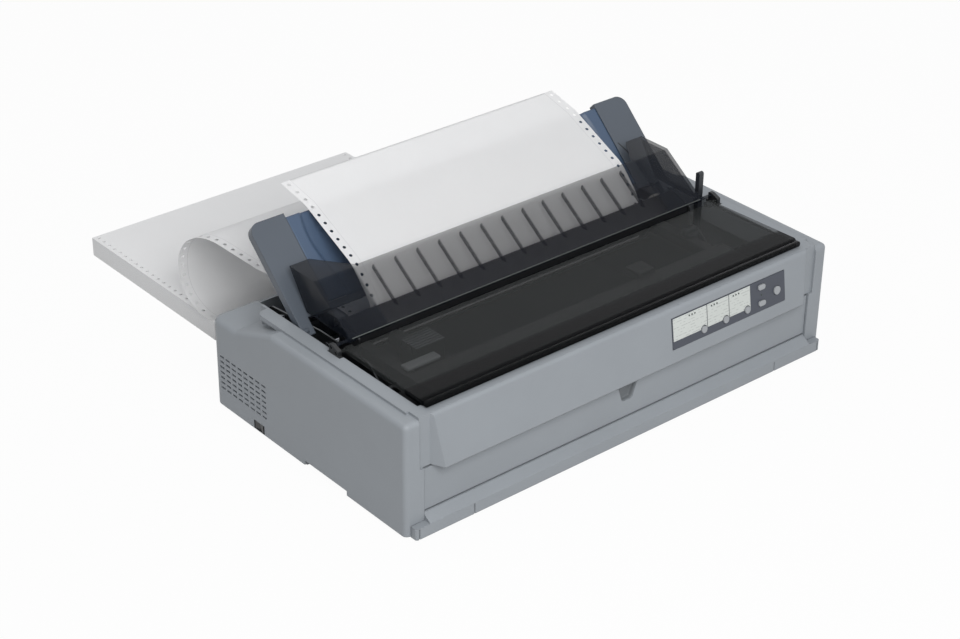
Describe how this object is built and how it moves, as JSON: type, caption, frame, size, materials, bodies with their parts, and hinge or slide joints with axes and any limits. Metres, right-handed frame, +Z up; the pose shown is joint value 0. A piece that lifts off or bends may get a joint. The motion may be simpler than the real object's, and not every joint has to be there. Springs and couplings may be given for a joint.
{
  "type": "dot matrix printer",
  "caption": "Wide-carriage impact printer with a smoked hinged front cover, a raised rear paper cover, a tilting sheet guide, a control panel and fan-fold paper fed in.",
  "frame": {"origin": "on the table under the middle of the case's footprint", "axes": "+X to the printer's right seen from the front, +Y from the front door to the rear, +Z up"},
  "size_m": [0.6455, 0.7568, 0.2463],
  "materials": {
    "case": "textured",
    "smoke": "smooth",
    "guide": "textured",
    "panel": "matte",
    "button": "matte",
    "label": "printed",
    "light": "smooth",
    "dark_plastic": "matte",
    "black_plastic": "matte",
    "steel": "brushed",
    "zinc": "plated",
    "rubber": "ground",
    "white_gear": "matte",
    "aluminium": "cast",
    "ribbon": "woven",
    "board": "lacquered",
    "paper": "paper",
    "belt": "matte",
    "motor": "satin"
  },
  "bodies": {
    "printer_body": {"lower_case": "case", "upper_case": "case", "rubber_feet": "rubber", "case_screws": "steel", "chassis_tray": "zinc", "left_side_frame": "zinc", "right_side_frame": "zinc", "paper_guide": "zinc", "carriage_shaft": "steel", "carriage_rail": "zinc", "carriage_motor": "motor", "feed_motor": "motor", "carriage_belt": "belt", "main_board": "board", "power_supply": "zinc", "power_inlet": "dark_plastic", "parallel_port": "zinc", "control_panel": "panel", "panel_labels": "label", "indicator_lights": "light", "ribbon_cartridge": "black_plastic", "ink_ribbon": "ribbon", "tension_bar": "black_plastic", "tractor_guide_rail": "steel", "continuous_paper": "paper", "paper_stack": "paper"},
    "platen": {"platen_roller": "rubber", "platen_shaft": "steel", "platen_gear": "white_gear", "platen_knob": "dark_plastic"},
    "idler_gear": {"idler_gear": "white_gear"},
    "feed_pinion": {"feed_pinion": "white_gear"},
    "tractor_drive": {"tractor_shaft": "steel", "tractor_gear": "white_gear"},
    "left_tractor": {"left_tractor": "dark_plastic"},
    "right_tractor": {"right_tractor": "dark_plastic"},
    "left_sprocket": {"left_sprocket": "white_gear"},
    "right_sprocket": {"right_sprocket": "white_gear"},
    "left_tractor_gate": {"left_tractor_gate": "white_gear"},
    "right_tractor_gate": {"right_tractor_gate": "white_gear"},
    "carriage": {"carriage": "dark_plastic", "print_head": "aluminium"},
    "motor_pulley": {"motor_pulley": "white_gear"},
    "idler_pulley": {"idler_pulley": "white_gear"},
    "ribbon_knob": {"ribbon_knob": "dark_plastic"},
    "release_lever": {"release_lever": "dark_plastic"},
    "printer_cover": {"printer_cover": "smoke"},
    "rear_cover": {"rear_cover": "smoke"},
    "sheet_guide": {"sheet_guide_frame": "case", "sheet_guide_panel": "guide"},
    "left_edge_guide": {"left_edge_guide": "dark_plastic"},
    "right_edge_guide": {"right_edge_guide": "dark_plastic"},
    "front_door": {"front_door": "case"},
    "power_rocker": {"power_rocker": "dark_plastic"},
    "round_button_1": {"round_button_1": "button"},
    "round_button_2": {"round_button_2": "button"},
    "round_button_3": {"round_button_3": "button"},
    "feed_button": {"feed_button": "button"},
    "load_button": {"load_button": "button"},
    "pause_button": {"pause_button": "button"}
  },
  "joints": [
    {"name": "platen_turn", "type": "hinge", "parent": "printer_body", "child": "platen", "pos_m": [0, 0.046, 0.112], "axis": [1, 0, 0], "continuous": true},
    {"name": "idler_gear_turn", "type": "hinge", "parent": "printer_body", "child": "idler_gear", "pos_m": [0, 0.07496, 0.07002], "axis": [1, 0, 0], "continuous": true},
    {"name": "feed_pinion_turn", "type": "hinge", "parent": "printer_body", "child": "feed_pinion", "pos_m": [0, 0.11094, 0.06886], "axis": [1, 0, 0], "continuous": true},
    {"name": "tractor_drive_turn", "type": "hinge", "parent": "printer_body", "child": "tractor_drive", "pos_m": [0, 0.125, 0.102], "axis": [1, 0, 0], "continuous": true},
    {"name": "left_tractor_slide", "type": "slide", "parent": "printer_body", "child": "left_tractor", "axis": [1, 0, 0], "range_m": [-0.001, 0.001]},
    {"name": "right_tractor_slide", "type": "slide", "parent": "printer_body", "child": "right_tractor", "axis": [1, 0, 0], "range_m": [-0.001, 0.001]},
    {"name": "left_sprocket_turn", "type": "hinge", "parent": "left_tractor", "child": "left_sprocket", "pos_m": [-0.19685, 0.125, 0.102], "axis": [1, 0, 0], "continuous": true},
    {"name": "right_sprocket_turn", "type": "hinge", "parent": "right_tractor", "child": "right_sprocket", "pos_m": [0.19685, 0.125, 0.102], "axis": [1, 0, 0], "continuous": true},
    {"name": "left_gate_hinge", "type": "hinge", "parent": "left_tractor", "child": "left_tractor_gate", "pos_m": [-0.21205, 0.125, 0.12581], "axis": [0, -1, 0], "range_deg": [0, 100]},
    {"name": "right_gate_hinge", "type": "hinge", "parent": "right_tractor", "child": "right_tractor_gate", "pos_m": [0.21205, 0.125, 0.12581], "axis": [0, 1, 0], "range_deg": [0, 100]},
    {"name": "carriage_slide", "type": "slide", "parent": "printer_body", "child": "carriage", "axis": [1, 0, 0], "range_m": [0, 0.36]},
    {"name": "motor_pulley_turn", "type": "hinge", "parent": "printer_body", "child": "motor_pulley", "pos_m": [-0.229, -0.05, 0.078], "axis": [0, 1, 0], "continuous": true},
    {"name": "idler_pulley_turn", "type": "hinge", "parent": "printer_body", "child": "idler_pulley", "pos_m": [0.229, -0.05, 0.078], "axis": [0, 1, 0], "continuous": true},
    {"name": "ribbon_knob_turn", "type": "hinge", "parent": "printer_body", "child": "ribbon_knob", "pos_m": [0.233, -0.026, 0.121], "axis": [0, 0, 1], "continuous": true},
    {"name": "release_lever_turn", "type": "hinge", "parent": "printer_body", "child": "release_lever", "pos_m": [0.275, 0.0025, 0.104], "axis": [-1, 0, 0], "range_deg": [0, 20]},
    {"name": "printer_cover_hinge", "type": "hinge", "parent": "printer_body", "child": "printer_cover", "pos_m": [0, -0.018, 0.1465], "axis": [-1, 0, 0], "range_deg": [0, 75]},
    {"name": "rear_cover_hinge", "type": "hinge", "parent": "printer_body", "child": "rear_cover", "pos_m": [0, -0.0095, 0.1505], "axis": [1, 0, 0], "range_deg": [0, 50]},
    {"name": "sheet_guide_hinge", "type": "hinge", "parent": "printer_body", "child": "sheet_guide", "pos_m": [0, 0.052, 0.138], "axis": [-1, 0, 0], "range_deg": [0, 18]},
    {"name": "left_edge_guide_slide", "type": "slide", "parent": "sheet_guide", "child": "left_edge_guide", "axis": [1, 0, 0], "range_m": [-0.04, 0.04]},
    {"name": "right_edge_guide_slide", "type": "slide", "parent": "sheet_guide", "child": "right_edge_guide", "axis": [1, 0, 0], "range_m": [-0.04, 0.04]},
    {"name": "front_door_hinge", "type": "hinge", "parent": "printer_body", "child": "front_door", "pos_m": [0, -0.1654, 0.0284], "axis": [1, 0, 0], "range_deg": [0, 85]},
    {"name": "power_rocker_turn", "type": "hinge", "parent": "printer_body", "child": "power_rocker", "pos_m": [-0.3095, 0.093, 0.01], "axis": [0, 0, 1], "range_deg": [0, 8]},
    {"name": "round_button_1_press", "type": "slide", "parent": "printer_body", "child": "round_button_1", "axis": [0, 0.989, -0.1478], "range_m": [0, 0.0015], "stiffness_N_per_m": 300},
    {"name": "round_button_2_press", "type": "slide", "parent": "printer_body", "child": "round_button_2", "axis": [0, 0.989, -0.1478], "range_m": [0, 0.0015], "stiffness_N_per_m": 300},
    {"name": "round_button_3_press", "type": "slide", "parent": "printer_body", "child": "round_button_3", "axis": [0, 0.989, -0.1478], "range_m": [0, 0.0015], "stiffness_N_per_m": 300},
    {"name": "feed_button_press", "type": "slide", "parent": "printer_body", "child": "feed_button", "axis": [0, 0.989, -0.1478], "range_m": [0, 0.0015], "stiffness_N_per_m": 300},
    {"name": "load_button_press", "type": "slide", "parent": "printer_body", "child": "load_button", "axis": [0, 0.989, -0.1478], "range_m": [0, 0.0015], "stiffness_N_per_m": 300},
    {"name": "pause_button_press", "type": "slide", "parent": "printer_body", "child": "pause_button", "axis": [0, 0.989, -0.1478], "range_m": [0, 0.0015], "stiffness_N_per_m": 300}
  ],
  "couplings": [
    {"joint": "idler_gear_turn", "follows": "platen_turn", "ratio": -0.88889},
    {"joint": "feed_pinion_turn", "follows": "platen_turn", "ratio": 2.6667},
    {"joint": "tractor_drive_turn", "follows": "platen_turn", "ratio": -0.88889},
    {"joint": "left_sprocket_turn", "follows": "platen_turn", "ratio": -0.88889},
    {"joint": "right_sprocket_turn", "follows": "platen_turn", "ratio": -0.88889},
    {"joint": "motor_pulley_turn", "follows": "carriage_slide", "rad_per_m": 102.56},
    {"joint": "idler_pulley_turn", "follows": "carriage_slide", "rad_per_m": 102.56}
  ]
}
